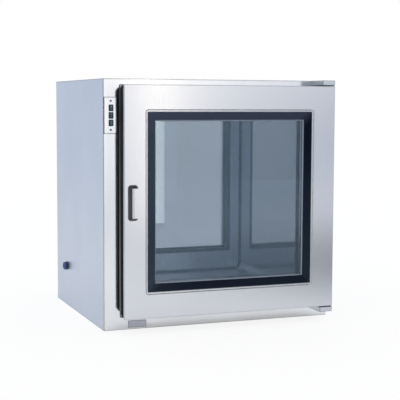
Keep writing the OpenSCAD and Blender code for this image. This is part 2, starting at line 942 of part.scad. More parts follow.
// Headed pins, pushed through the blocks into the doors
module hinge_pins() {
    color("gray") both_faces() both_hinges() on_pin() {
        translate([0, 0, -pin_reach]) cylinder(h = pin_reach + hinge_gap + block_h - pin_head_t, r = pin_r);
        translate([0, 0, hinge_gap + block_h - pin_head_t]) cylinder(h = pin_head_t, r = pin_head_r);
    }
}

// Low-friction washers that carry each door on its lower block
module thrust_washers() {
    color("ivory") both_faces() turned_over() on_pin() translate([0, 0, free]) difference() {
        cylinder(h = hinge_gap - free, r = bush_flange_r);
        translate([0, 0, -over]) cylinder(h = hinge_gap + 2 * over, r = pin_r + pin_clear);
    }
}

module hinge_bushes() {
    both_hinges() on_pin() difference() {
        union() {
            translate([0, 0, -bush_l]) cylinder(h = bush_l, r = bush_r);
            translate([0, 0, -bush_flange_t]) cylinder(h = bush_flange_t, r = bush_flange_r);
        }
        translate([0, 0, -bush_l - over]) cylinder(h = bush_l + 2 * over, r = pin_r + pin_clear);
    }
}

module front_hinge_bushes() {
    color("ivory") on_front() hinge_bushes();
}

module rear_hinge_bushes() {
    color("ivory") on_rear() hinge_bushes();
}

// ---------------------------------------------------------------- door

// Outer pan: folded edge, pressed step round the window, grip tongue
module outer_pan() {
    sx0 = clear_x0 - glazing_w - step_w;
    sx1 = clear_x1 + glazing_w + step_w;
    sz0 = clear_z0 - glazing_w - step_w;
    sz1 = clear_z1 + glazing_w + step_w;
    step_r = step_w + 1.5;
    lap = 0.5;
    difference() {
        folded_block(door_x0, door_x1, door_z0, door_z1, core_d1, door_d, pan_r, fold_r);
        slab(core_d1 - over, door_d - sheet)
            round_rect(door_x0 + sheet, door_x1 - sheet, door_z0 + sheet, door_z1 - sheet,
                       pan_r - sheet);
        slab(core_d1, door_d + over) at_window() round_rect(sx0, sx1, sz0, sz1, step_r);
        slab(core_d1, door_d + over) round_rect(pull_x0, pull_x1, pull_z0, pull_z1, pull_r);
    }
    at_window() round_ring(sx0, sx1, sz0, sz1, step_r)
        polygon([[lap, door_d], [0, door_d], [-step_d, door_d - step_d],
                 [seam - step_w, door_d - step_d], [seam - step_w, door_d - step_d - sheet],
                 [-step_d, door_d - step_d - sheet], [0, door_d - sheet], [lap, door_d - sheet]]);
    grip_tongue();
}

// Tongue left across the pull, its free edge rolled in as a finger hold
module grip_tongue() {
    roll = 4;
    z0 = pull_z0 + grip_gap_bottom;
    z1 = pull_z1 - grip_gap_top;
    x0 = pull_x1 - grip_w;
    translate([0, z1, 0]) rotate([90, 0, 0]) linear_extrude(z1 - z0) {
        translate([x0 + roll, door_d - sheet]) square([grip_w - roll + eps, sheet]);
        intersection() {
            translate([x0 + roll, door_d - roll]) difference() {
                circle(roll);
                circle(roll - sheet);
            }
            translate([x0, door_d - roll]) square([roll + eps, roll]);
        }
        translate([x0, door_d - 2 * roll]) square([sheet, roll + eps]);
    }
}

// Core: the black filling of the door, which shows as a band round its edge
module door_core() {
    edge = 1;
    fit = 1;
    hold = pane_hold + fit;
    difference() {
        slab(core_d0, core_d1)
            round_rect(door_x0 + edge, door_x1 - edge, door_z0 + edge, door_z1 - edge, soft_r);
        slab(core_d0 - over, core_d1 + over) pane_outline(hold);
        slab(door_d - pull_depth - seam, core_d1 + over)
            round_rect(pull_x0 - cup_wall - seam, pull_x1 + cup_wall + seam,
                       pull_z0 - cup_wall - seam, pull_z1 + cup_wall + seam,
                       pull_r + cup_wall + seam);
        both_hinges() on_pin() {
            translate([0, 0, -bush_l - eps]) cylinder(h = bush_l + over, r = bush_r + pin_clear);
            translate([0, 0, -bush_flange_t - eps]) cylinder(h = 2, r = bush_flange_r + pin_clear);
        }
    }
}

// Inner pan: folded edge, a panel pressed out towards the chamber and a window
// opening with a folded flange
module inner_pan() {
    x0 = chamber_x0 + panel_gap;
    x1 = chamber_x1 - panel_gap;
    z0 = floor_z + panel_gap;
    z1 = ceiling_z - panel_gap;
    corner = cove_r - panel_gap;
    difference() {
        union() {
            folded_back(door_x0, door_x1, door_z0, door_z1, gasket_h, core_d0, pan_r, fold_r);
            folded_back(x0, x1, z0, z1, panel_d, gasket_h + sheet, corner, 2 * fold_r);
        }
        difference() {
            union() {
                slab(gasket_h + sheet, core_d0 + over)
                    round_rect(door_x0 + sheet, door_x1 - sheet, door_z0 + sheet, door_z1 - sheet,
                               pan_r - sheet);
                slab(panel_d + sheet, core_d0)
                    round_rect(x0 + sheet, x1 - sheet, z0 + sheet, z1 - sheet, corner - sheet);
            }
            slab(panel_d, core_d0 + 2 * over) inner_opening(inner_lip + sheet);
        }
        slab(panel_d - over, core_d0 + 2 * over) inner_opening(inner_lip);
    }
}

module inner_opening(grow) {
    at_window()
        round_rect(clear_x0 - grow, clear_x1 + grow, clear_z0 - grow, clear_z1 + grow, 1);
}

// Bulb gasket: a hollow rubber section with a rounded crown, in one ring
module gasket() {
    half = gasket_w / 2;
    inner = half - gasket_wall;
    crown = free + half;
    base_gap = free;
    x0 = door_x0 + gasket_inset + half;
    x1 = pin_x - 2 - half;
    z0 = door_z0 + gasket_inset + half;
    z1 = door_z1 - gasket_inset - half;
    round_ring(x0, x1, z0, z1, soft_r) difference() {
        union() {
            translate([-half, crown]) square([gasket_w, gasket_h - base_gap - crown]);
            translate([0, crown]) circle(half);
        }
        translate([-inner, crown]) square([2 * inner, gasket_h - crown - 2.2 * gasket_wall]);
        translate([0, crown]) circle(inner);
    }
}

// Glazing frame: four mitred lengths with a bevel that falls to the glass
module glazing_frame() {
    top = door_d + glazing_proud;
    fit = 0.4;
    at_window() mitred_ring(clear_x0, clear_x1, clear_z0, clear_z1, glazing_w)
        polygon([[0, glass_d1], [0, top - glazing_drop], [glazing_w - bevel_flat, top],
                 [glazing_w - fit, top], [glazing_w - fit, core_d1],
                 [pane_hold, core_d1], [pane_hold, glass_d1]]);
}

// Inner seal: the rubber section between the inner pan and the inner pane
module inner_seal() {
    back = panel_d + 1;
    at_window() mitred_ring(clear_x0, clear_x1, clear_z0, clear_z1, inner_lip)
        polygon([[0, back + 3], [3, back], [inner_lip - free, back], [inner_lip - free, core_d0],
                 [pane_hold, core_d0], [pane_hold, glass_d0], [0, glass_d0]]);
}

module pane_outline(grow) {
    at_window() translate([clear_x0 - grow, clear_z0 - grow])
        square([clear_x1 - clear_x0 + 2 * grow, clear_z1 - clear_z0 + 2 * grow]);
}

module panes() {
    slab(glass_d0, spacer_d0) pane_outline(pane_hold);
    slab(spacer_d1, glass_d1) pane_outline(pane_hold);
}

module pane_spacer() {
    slab(spacer_d0, spacer_d1) difference() {
        pane_outline(pane_hold);
        pane_outline(pane_hold - spacer_w);
    }
}

// Pull cup: a moulded pocket with round corners, flanged behind the outer pan
module pull_cup() {
    rim = door_d - sheet;
    flange = cup_wall + cup_flange;
    difference() {
        union() {
            slab(door_d - pull_depth, rim)
                round_rect(pull_x0 - cup_wall, pull_x1 + cup_wall,
                           pull_z0 - cup_wall, pull_z1 + cup_wall, pull_r + cup_wall);
            slab(rim - cup_wall, rim)
                round_rect(pull_x0 - flange, pull_x1 + flange,
                           pull_z0 - flange, pull_z1 + flange, pull_r + flange);
        }
        slab(door_d - pull_depth + cup_wall, rim + over)
            round_rect(pull_x0, pull_x1, pull_z0, pull_z1, pull_r);
    }
}

// Armature: the plate that the magnet holds, on two lugs of the inner pan
module armature() {
    d0 = magnet_proud + free;
    translate([magnet_x, magnet_z, d0]) difference() {
        cube([magnet_l, magnet_h - 2, armature_t]);
        translate([magnet_l / 2, magnet_h / 2 - 1, -over]) cylinder(h = 3 + over, r = 4);
    }
    for (x = [0.2, 0.8])
        translate([magnet_x + magnet_l * x, magnet_z + magnet_h / 2 - 1, d0 + armature_t - eps])
            cylinder(h = gasket_h - d0 - armature_t + eps, r = armature_lug_r);
}

module sensor_magnet() {
    translate([sensor_x, sensor_z, gasket_h - sensor_magnet_t])
        cylinder(h = sensor_magnet_t, r = sensor_r + 2);
}

module front_outer_pan() {
    color("gainsboro") on_front() outer_pan();
}

module front_door_core() {
    color("black") on_front() door_core();
}

module front_inner_pan() {
    color("silver") on_front() inner_pan();
}

module front_gasket() {
    color("black") on_front() gasket();
}

module front_glazing_frame() {
    color("midnightblue") on_front() glazing_frame();
}

module front_inner_seal() {
    color("black") on_front() inner_seal();
}

module front_panes() {
    color("lightblue", 0.35) on_front() panes();
}

module front_pane_spacer() {
    color("silver") on_front() pane_spacer();
}

module front_pull_cup() {
    color("dimgray") on_front() pull_cup();
}

module front_armature() {
    color("gray") on_front() armature();
}

module front_sensor_magnet() {
    color("white") on_front() sensor_magnet();
}

module rear_outer_pan() {
    color("gainsboro") on_rear() outer_pan();
}

module rear_door_core() {
    color("black") on_rear() door_core();
}

module rear_inner_pan() {
    color("silver") on_rear() inner_pan();
}

module rear_gasket() {
    color("black") on_rear() gasket();
}

module rear_glazing_frame() {
    color("midnightblue") on_rear() glazing_frame();
}

module rear_inner_seal() {
    color("black") on_rear() inner_seal();
}

module rear_panes() {
    color("lightblue", 0.35) on_rear() panes();
}

module rear_pane_spacer() {
    color("silver") on_rear() pane_spacer();
}

module rear_pull_cup() {
    color("dimgray") on_rear() pull_cup();
}

module rear_armature() {
    color("gray") on_rear() armature();
}

module rear_sensor_magnet() {
    color("white") on_rear() sensor_magnet();
}

left_side_panel();
right_side_panel();
top_cover();
bottom_cover();
front_frame();
rear_frame();
chamber_wrap();
chamber_ceiling();
side_stiffeners();
hinge_blocks();
hinge_pins();
thrust_washers();
front_interlock_magnet();
rear_interlock_magnet();
door_sensors();
lamp_housing();
led_diffuser();
led_board();
uv_tube();
uv_lamp_holders();
uv_ballast();
power_supply();
interlock_board();
terminal_block();
control_plate();
control_plate_screws();
rocker_housings();
light_rocker();
uv_rocker();
power_rocker();
gland_body();
gland_dome_nut();
gland_locknut();
rail_plate();
service_cover();
service_cover_screws();
front_outer_pan();
front_door_core();
front_inner_pan();
front_gasket();
front_glazing_frame();
front_inner_seal();
front_panes();
front_pane_spacer();
front_pull_cup();
front_hinge_bushes();
front_armature();
front_sensor_magnet();
rear_outer_pan();
rear_door_core();
rear_inner_pan();
rear_gasket();
rear_glazing_frame();
rear_inner_seal();
rear_panes();
rear_pane_spacer();
rear_pull_cup();
rear_hinge_bushes();
rear_armature();
rear_sensor_magnet();
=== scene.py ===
# %% [markdown]
# # A cleanroom pass box
#
# A pass box stands in the wall of a clean room. Goods go in through the door on one face and come
# out through the door on the other, and the air of the two rooms never meets. The cabinet is folded
# and welded stainless sheet, each door is a shallow sheet box round a double pane, and black rubber
# seals everything that opens. This lesson takes the finished solids of such a box and gives them
# their looks: sheet metal, rubber, glass and plastic, a few small pieces that are easier to grow in
# Blender, and a plain studio to stand in.

# %% Load the solids
import json
import math

import bpy
import numpy as np
from mathutils import Matrix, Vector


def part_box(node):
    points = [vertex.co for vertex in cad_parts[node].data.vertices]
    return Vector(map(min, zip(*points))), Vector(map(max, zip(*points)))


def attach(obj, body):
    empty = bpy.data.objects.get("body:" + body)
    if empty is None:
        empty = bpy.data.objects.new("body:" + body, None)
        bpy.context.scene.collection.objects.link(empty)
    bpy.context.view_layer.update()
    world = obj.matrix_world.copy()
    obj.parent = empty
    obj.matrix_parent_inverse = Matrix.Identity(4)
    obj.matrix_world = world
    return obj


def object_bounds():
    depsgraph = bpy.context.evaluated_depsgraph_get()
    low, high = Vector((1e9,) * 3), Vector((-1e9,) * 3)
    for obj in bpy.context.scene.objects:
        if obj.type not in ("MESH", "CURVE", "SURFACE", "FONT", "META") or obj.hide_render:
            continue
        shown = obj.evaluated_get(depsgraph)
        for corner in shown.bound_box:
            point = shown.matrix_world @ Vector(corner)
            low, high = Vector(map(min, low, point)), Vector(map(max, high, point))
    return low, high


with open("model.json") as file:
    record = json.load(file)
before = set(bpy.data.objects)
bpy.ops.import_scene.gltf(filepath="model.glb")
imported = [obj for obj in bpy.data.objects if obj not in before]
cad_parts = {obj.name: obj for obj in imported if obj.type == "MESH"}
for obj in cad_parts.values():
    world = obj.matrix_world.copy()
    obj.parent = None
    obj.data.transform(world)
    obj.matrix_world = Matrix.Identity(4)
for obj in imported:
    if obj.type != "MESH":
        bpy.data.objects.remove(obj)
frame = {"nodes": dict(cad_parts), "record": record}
cad_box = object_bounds()
nodes = frame["nodes"]
print("solids loaded:", len(nodes))

# %% [markdown]
# ## The camera
#
# The box is looked at from its front left, from a little under its own top, with a long lens. A long
# lens keeps the upright edges nearly parallel, which suits a product. The camera is written as a place
# and three angles, and its turning matrix is made from the three directions that it needs: to its
# right, up, and backwards.

# %% Camera
CAMERA_PLACE = (-1.2215, -3.3186, 0.6791)
CAMERA_YAW = 0.3653
CAMERA_PITCH = 0.0908
CAMERA_ROLL = 0.0039
CAMERA_LENS = 95.84


def turning(yaw, pitch, roll):
    """Columns are right, up and backwards: forward is turned by yaw from +Y and dips by pitch."""
    forward = np.array([math.sin(yaw) * math.cos(pitch), math.cos(yaw) * math.cos(pitch), -math.sin(pitch)])
    level = np.array([math.cos(yaw), -math.sin(yaw), 0.0])
    up = np.cross(level, forward)
    right = math.cos(roll) * level + math.sin(roll) * up
    above = math.cos(roll) * up - math.sin(roll) * level
    return np.stack([right, above, -forward], axis=1)


camera_data = bpy.data.cameras.new("camera")
camera_data.lens = CAMERA_LENS
camera = bpy.data.objects.new("camera", camera_data)
bpy.context.scene.collection.objects.link(camera)
bpy.context.scene.camera = camera
placed = np.eye(4)
placed[:3, :3] = turning(CAMERA_YAW, CAMERA_PITCH, CAMERA_ROLL)
placed[:3, 3] = CAMERA_PLACE
camera.matrix_world = Matrix(placed.tolist())
bpy.context.scene.view_settings.view_transform = "Standard"
print("camera at", [round(v, 2) for v in camera.matrix_world.translation])

# %% [markdown]
# ## A little kit for materials
#
# Each finish below is a small tree of shader nodes. A few short helpers keep the trees readable. One
# starts a material, one adds a node with its plain values, and one joins two sockets. The next ones
# work out a number or a vector and mix two colours, from terms that are plain values or come from
# other nodes, and the last one sends the shader to the output.

# %% Node helpers
WHITE = (1, 1, 1, 1)
VECTOR = "ShaderNodeVectorMath"


def new_material(name):
    """A material with an output and nothing else; gives the material and its nodes."""
    material = bpy.data.materials.new(name)
    material.use_nodes = True
    tree = material.node_tree
    tree.nodes.clear()
    return material, tree


def add(tree, kind, values=None, **settings):
    """One shader node; settings are its properties and values its inputs by name or number."""
    node = tree.nodes.new(kind)
    for key, value in settings.items():
        setattr(node, key, value)
    for key, value in (values or {}).items():
        node.inputs[key].default_value = value
    return node


def join(tree, source, target):
    """Joins two sockets, each given as (node, name or number)."""
    tree.links.new(source[0].outputs[source[1]], target[0].inputs[target[1]])


def feed(tree, term, target):
    """Joins a term that is a (node, output) pair to a socket, and sets any other term as its value."""
    if isinstance(term, tuple) and isinstance(term[0], bpy.types.Node):
        join(tree, term, target)
    else:
        target[0].inputs[target[1]].default_value = term


def maths(tree, operation, *terms, kind="ShaderNodeMath"):
    """A Math node on its terms in their order, or a Vector Math node where the kind says so."""
    node = add(tree, kind, operation=operation)
    for number, term in enumerate(terms):
        feed(tree, term, (node, number))
    return node


def mixed(tree, mask, low, high):
    """Two colours mixed by a mask: low where it is 0 and high where it is 1."""
    mix = add(tree, "ShaderNodeMix", data_type="RGBA")
    join(tree, mask, (mix, 0))
    feed(tree, low, (mix, 6))
    feed(tree, high, (mix, 7))
    return mix


def finish(tree, shader):
    """Sends a shader to the material's output."""
    join(tree, (shader, 0), (add(tree, "ShaderNodeOutputMaterial"), "Surface"))


# %% [markdown]
# ## The studio
#
# Polished sheet looks like whatever stands round it, so the studio is part of the finish. The room is
# one big soft light with a few broad patches in it: each patch is a direction, a size and a strength,
# and its light fades smoothly from its middle to its rim. The patches stand in for the large white
# cloths and grey boards of a product photographer.

# %% Room light
ROOM_LEVEL = (0.86, 0.88, 0.92)
# direction towards the patch, half angle of its bright middle, half angle of its rim, added light
ROOM_PATCHES = [
    ((0.420, -0.890, 0.174), 4, 15, (0.56, 0.53, 0.47)),     # white cloth in front
    ((0.560, -0.828, -0.035), 5, 18, (-0.58, -0.55, -0.48)),  # grey board to the front right
    ((-0.200, -0.979, 0.03), 12, 23, (-0.78, -0.78, -0.78)),  # dark room behind the camera
    ((0.360, -0.776, 0.52), 13, 23, (-0.82, -0.82, -0.82)),  # dark ceiling over the cloth
    ((-0.30, 1.0, 0.02), 10, 40, (-0.16, -0.13, -0.09)),     # dimmer cloth behind, to the left
    ((0.0, 0.0, 1.0), 20, 50, (0.10, 0.10, 0.10)),           # ceiling cloth
]


def shown_directly(tree):
    """1 for what the eye sees straight or through glass, 0 for what lights or is mirrored."""
    path = add(tree, "ShaderNodeLightPath")
    return maths(tree, "MAXIMUM", (path, "Is Camera Ray"), (path, "Is Transmission Ray"))


def round_fade(tree, dot, rim, middle):
    """Turns a number that grows towards a patch's middle into a smooth 0 to 1."""
    fade = add(tree, "ShaderNodeMapRange", {"From Min": rim, "From Max": middle},
               interpolation_type="SMOOTHSTEP")
    join(tree, dot, (fade, "Value"))
    return fade


def room_light():
    """The room's light by direction: a level plus one smooth round patch for each entry above."""
    world = bpy.data.worlds.new("studio")
    bpy.context.scene.world = world
    world.use_nodes = True
    tree = world.node_tree
    tree.nodes.clear()
    direction = add(tree, "ShaderNodeTexCoord")
    total = add(tree, "ShaderNodeCombineXYZ", {"X": ROOM_LEVEL[0], "Y": ROOM_LEVEL[1], "Z": ROOM_LEVEL[2]})
    for towards, middle, rim, light in ROOM_PATCHES:
        unit = np.array(towards) / np.linalg.norm(towards)
        dot = maths(tree, "DOT_PRODUCT", (direction, "Generated"), unit, kind=VECTOR)
        fade = round_fade(tree, (dot, "Value"), math.cos(math.radians(rim)), math.cos(math.radians(middle)))
        patch = maths(tree, "SCALE", light, kind=VECTOR)
        join(tree, (fade, "Result"), (patch, "Scale"))
        total = maths(tree, "ADD", (total, 0), (patch, 0), kind=VECTOR)
    color = mixed(tree, (shown_directly(tree), 0), (total, 0), WHITE)
    background = add(tree, "ShaderNodeBackground", {"Strength": 1.0})
    join(tree, (color, 2), (background, "Color"))
    join(tree, (background, 0), (add(tree, "ShaderNodeOutputWorld"), "Surface"))


room_light()

# %% [markdown]
# ## A card of light
#
# Glass shows best when something bright stands in it. A tall, narrow sheet of light in front of the
# box shows as a pale bar in the outer pane, and tells the eye that the opening is glazed. An area lamp
# is such a sheet already: it lights a little, it is mirrored, and it stands well outside the view.

# %% Light card
CARD_CORNERS = ((0.61, 0.68), (0.02, 1.9))    # its reach in x and in z
CARD_Y = -2.92
CARD_WATTS = 0.90
CARD_COLOR = (1.0, 0.865, 0.68)               # warm, as the glass takes some of the red out of it


def light_card():
    """An upright sheet of light in front of the box, facing it."""
    (x0, x1), (z0, z1) = CARD_CORNERS
    lamp = bpy.data.lights.new("light_card", "AREA")
    lamp.shape = "RECTANGLE"
    lamp.size = x1 - x0
    lamp.size_y = z1 - z0
    lamp.energy = CARD_WATTS
    lamp.color = CARD_COLOR
    card = bpy.data.objects.new("light_card", lamp)
    bpy.context.scene.collection.objects.link(card)
    card.location = ((x0 + x1) / 2, CARD_Y, (z0 + z1) / 2)
    card.rotation_euler = (math.radians(90), 0, 0)


light_card()
print("card of light:", CARD_WATTS, "W")

# %% [markdown]
# ## The floor
#
# Products like this one stand on white paper that runs up behind them, so that no edge is seen. Here
# the paper is one large flat square. Where it is looked at, nearly all of its tone is its own light,
# and a small share of plain paper takes the box's shadow. In mirror images and in the light that it
# throws back it is darker, and two grey cloths lie on it, because the polished sheet would be too even
# without them. Far from the box the square melts into the room.

# %% Floor
FLOOR_HALF = 6.0
FLOOR_GAP = 0.0005               # how far it lies under the box
FLOOR_CLOTHS = [((1.5, -1.5), 1.7), ((-0.7, -3.2), 1.6)]   # the middle of each grey cloth, and its reach
CLOTH_MIDDLE = 0.3               # share of the reach within which a cloth has its full tone
FLOOR_TONE = (0.54, 0.55, 0.57, 1)
CLOTH_TONE = (0.15, 0.17, 0.20, 1)
FLOOR_GLOW = 0.86                # its own light where it is looked at, as a lit paper sweep gives
FLOOR_GLOW_HIDDEN = 0.36         # its own light in mirror images and on the object
CLOTH_GLOW = 0.4                 # the cloths' share of that hidden light
FLOOR_PAPER = 0.16               # share of the paper that takes shadows where it is looked at
FLOOR_MELTS = (0.4, 0.97)        # where it starts and ends to melt into the room, as shares of its half
FLOOR_FAR = (0.72, 0.76, 0.84, 1)    # the room's level low behind the box, in mirror images


def studio_floor():
    """A large pale square just under the box, darker where grey cloths lie, with no edge to be seen."""
    corners = FLOOR_HALF * np.array([[-1, -1], [1, -1], [1, 1], [-1, 1]])
    points = np.column_stack([corners, np.full(4, cad_box[0][2] - FLOOR_GAP)])
    mesh = bpy.data.meshes.new("studio_floor")
    mesh.from_pydata(points.tolist(), [], [(0, 1, 2, 3)])
    floor = bpy.data.objects.new("studio_floor", mesh)
    bpy.context.scene.collection.objects.link(floor)
    material, tree = new_material("floor_paper")
    place = add(tree, "ShaderNodeTexCoord")
    cloths = []
    for middle, reach in FLOOR_CLOTHS:
        away = maths(tree, "DISTANCE", (place, "Object"), middle + (0,), kind=VECTOR)
        cloths.append((round_fade(tree, (away, "Value"), reach, reach * CLOTH_MIDDLE), 0))
    shade = maths(tree, "MAXIMUM", *cloths)
    direct = shown_directly(tree)
    tone = mixed(tree, (shade, 0), FLOOR_TONE, CLOTH_TONE)
    seen = mixed(tree, (direct, 0), (tone, 2), (FLOOR_PAPER, FLOOR_PAPER, FLOOR_PAPER, 1))
    paper = add(tree, "ShaderNodeBsdfDiffuse")
    join(tree, (seen, 2), (paper, "Color"))
    glow = add(tree, "ShaderNodeEmission", {"Color": WHITE})
    dimmed = add(tree, "ShaderNodeMapRange",
                 {"To Min": FLOOR_GLOW_HIDDEN, "To Max": FLOOR_GLOW_HIDDEN * CLOTH_GLOW})
    join(tree, (shade, 0), (dimmed, 0))
    level = add(tree, "ShaderNodeMix", data_type="FLOAT")
    level.inputs[3].default_value = FLOOR_GLOW
    join(tree, (direct, 0), (level, 0))
    join(tree, (dimmed, 0), (level, 2))
    join(tree, (level, 0), (glow, "Strength"))
    both = add(tree, "ShaderNodeAddShader")
    join(tree, (paper, 0), (both, 0))
    join(tree, (glow, 0), (both, 1))
    from_box = maths(tree, "LENGTH", (place, "Object"), kind=VECTOR)
    far = round_fade(tree, (from_box, "Value"), *(FLOOR_HALF * share for share in FLOOR_MELTS))
    behind = mixed(tree, (direct, 0), FLOOR_FAR, WHITE)
    room = add(tree, "ShaderNodeEmission")
    join(tree, (behind, 2), (room, "Color"))
    melted = add(tree, "ShaderNodeMixShader")
    join(tree, (far, 0), (melted, 0))
    join(tree, (both, 0), (melted, 1))
    join(tree, (room, 0), (melted, 2))
    finish(tree, melted)
    mesh.materials.append(material)


studio_floor()
print("floor:", 2 * FLOOR_HALF, "m square")

# %% [markdown]
# ## Stainless sheet
#
# The sheet comes from the mill with a fine grain that runs one way, and a film that is pulled off at
# the end leaves it clean, so the wear is only slight: clouds where it was wiped, and a faint
# waviness that shows in long reflections. Grain, clouds and waves are three noise textures
# that differ mostly in their scale, so they share one node group.

# %% Node group for sheet
UPRIGHT_GRAIN = (900, 900, 30)   # noise per metre along each axis, so the grain is drawn out along z
LEVEL_GRAIN = (30, 900, 900)     # the same, drawn out along x
GRAIN_AMOUNT = 0.05
CLOUD_SCALE = 6.0
WAVE_SCALE = 3.0


def group_sockets(group, inputs, outputs):
    """Names the sockets of a node group: inputs are (name, kind, value), outputs (name, kind)."""
    for name, kind, value in inputs:
        socket = group.interface.new_socket(name, in_out="INPUT", socket_type=kind)
        socket.default_value = value
    for name, kind in outputs:
        group.interface.new_socket(name, in_out="OUTPUT", socket_type=kind)


def sheet_group():
    """Grain: noise drawn out along one axis. Clouds: slow noise. Waves: slower noise, for the height."""
    group = bpy.data.node_groups.new("sheet_surface", "ShaderNodeTree")
    number = "NodeSocketFloat"
    group_sockets(group,
                  [("Grain Scale", "NodeSocketVector", UPRIGHT_GRAIN), ("Cloud Scale", number, CLOUD_SCALE),
                   ("Wave Scale", number, WAVE_SCALE), ("Grain Amount", number, GRAIN_AMOUNT),
                   ("Wave Amount", number, 0.0)],
                  [("Grain", number), ("Clouds", number), ("Height", number)])
    inside = add(group, "NodeGroupInput")
    outside = add(group, "NodeGroupOutput")
    place = add(group, "ShaderNodeTexCoord")
    drawn = maths(group, "MULTIPLY", (place, "Object"), (inside, "Grain Scale"), kind=VECTOR)
    grain = add(group, "ShaderNodeTexNoise", {"Scale": 1.0, "Detail": 2.0})
    join(group, (drawn, 0), (grain, "Vector"))
    clouds = add(group, "ShaderNodeTexNoise", {"Detail": 3.0, "Roughness": 0.55})
    join(group, (place, "Object"), (clouds, "Vector"))
    join(group, (inside, "Cloud Scale"), (clouds, "Scale"))
    waves = add(group, "ShaderNodeTexNoise", {"Detail": 0.5})
    join(group, (place, "Object"), (waves, "Vector"))
    join(group, (inside, "Wave Scale"), (waves, "Scale"))
    fine = maths(group, "MULTIPLY", (grain, "Fac"), (inside, "Grain Amount"))
    slow = maths(group, "MULTIPLY", (waves, "Fac"), (inside, "Wave Amount"))
    height = maths(group, "ADD", (fine, 0), (slow, 0))
    join(group, (grain, "Fac"), (outside, "Grain"))
    join(group, (clouds, "Fac"), (outside, "Clouds"))
    join(group, (height, 0), (outside, "Height"))
    return group


SHEET = sheet_group()

# %% [markdown]
# ## One steel for each sheet
#
# Polished steel has hardly a colour of its own, so the finishes differ in how blurred and how bright
# their mirror image is. The case is rough and bluish, the doors are smoother, and the chamber is
# nearly a mirror with a haze of fine scratches. Every fold gets a thin dark line painted into its
# colour, a painted reflection: a bent edge mirrors other parts of the room than the faces beside it.
# A Bevel node rounds the edges in the shading alone, and where its normal leaves the true one there
# is a fold, and the line is painted.

# %% Stainless finishes
NOISE_REACH = (0.3, 0.7)               # nearly all of a noise texture's values lie between these
# the dark line along the folds is painted into the colour, a painted reflection
FOLD_REACH = 0.003                     # how far the dark line reaches from a fold
FOLD_TURN = 0.95                       # cosine between the two normals where the line is full
FOLD_SHADE = -0.75                     # how much darker the line is
GRAIN_SPREAD = 0.12                    # the grain's share in the roughness
SHEET_RELIEF = 0.0001
SCRATCH_ROUGHNESS = 0.65
# painted shade: a dark tone for the hems of the doors' inner pans, where the gap beside each door is in
# shade
HEM_PAINTED_SHADE = (0.075, 0.078, 0.085, 1.0)
DOOR_MIDDLE = (0.011, 0.38875)         # x and z of the middle of each door's face
HEM_FREE = (0.3396, 0.3424)            # half the width and height of the doors' faces inside their hems


def tinted(color, amount):
    """A colour made lighter or darker by a share."""
    return tuple(min(1.0, c * (1 + amount)) for c in color[:3]) + (1.0,)


def spread(tree, source, low, high):
    """Stretches a 0 to 1 mask between two values."""
    ranged = add(tree, "ShaderNodeMapRange",
                 {"From Min": NOISE_REACH[0], "From Max": NOISE_REACH[1], "To Min": low, "To Max": high})
    join(tree, source, (ranged, "Value"))
    return ranged


def clouded(tree, source, color, uneven):
    """The colour, darker by a share where a noise is low and lighter where it is high."""
    cloud = spread(tree, source, 0.0, 1.0)
    return mixed(tree, (cloud, 0), tinted(color, -uneven), tinted(color, uneven))


def on_hems(tree):
    """1 where the greater of |x - middle| - half and |z - middle| - half is above 0, and 0 elsewhere."""
    place = add(tree, "ShaderNodeTexCoord")
    middle = (DOOR_MIDDLE[0], 0.0, DOOR_MIDDLE[1])
    half = (HEM_FREE[0], 0.0, HEM_FREE[1])
    from_middle = maths(tree, "SUBTRACT", (place, "Object"), middle, kind=VECTOR)
    size = maths(tree, "ABSOLUTE", (from_middle, 0), kind=VECTOR)
    beyond = maths(tree, "SUBTRACT", (size, 0), half, kind=VECTOR)
    parts = add(tree, "ShaderNodeSeparateXYZ")
    join(tree, (beyond, 0), (parts, 0))
    most = maths(tree, "MAXIMUM", (parts, "X"), (parts, "Z"))
    return maths(tree, "GREATER_THAN", (most, 0), 0.0)


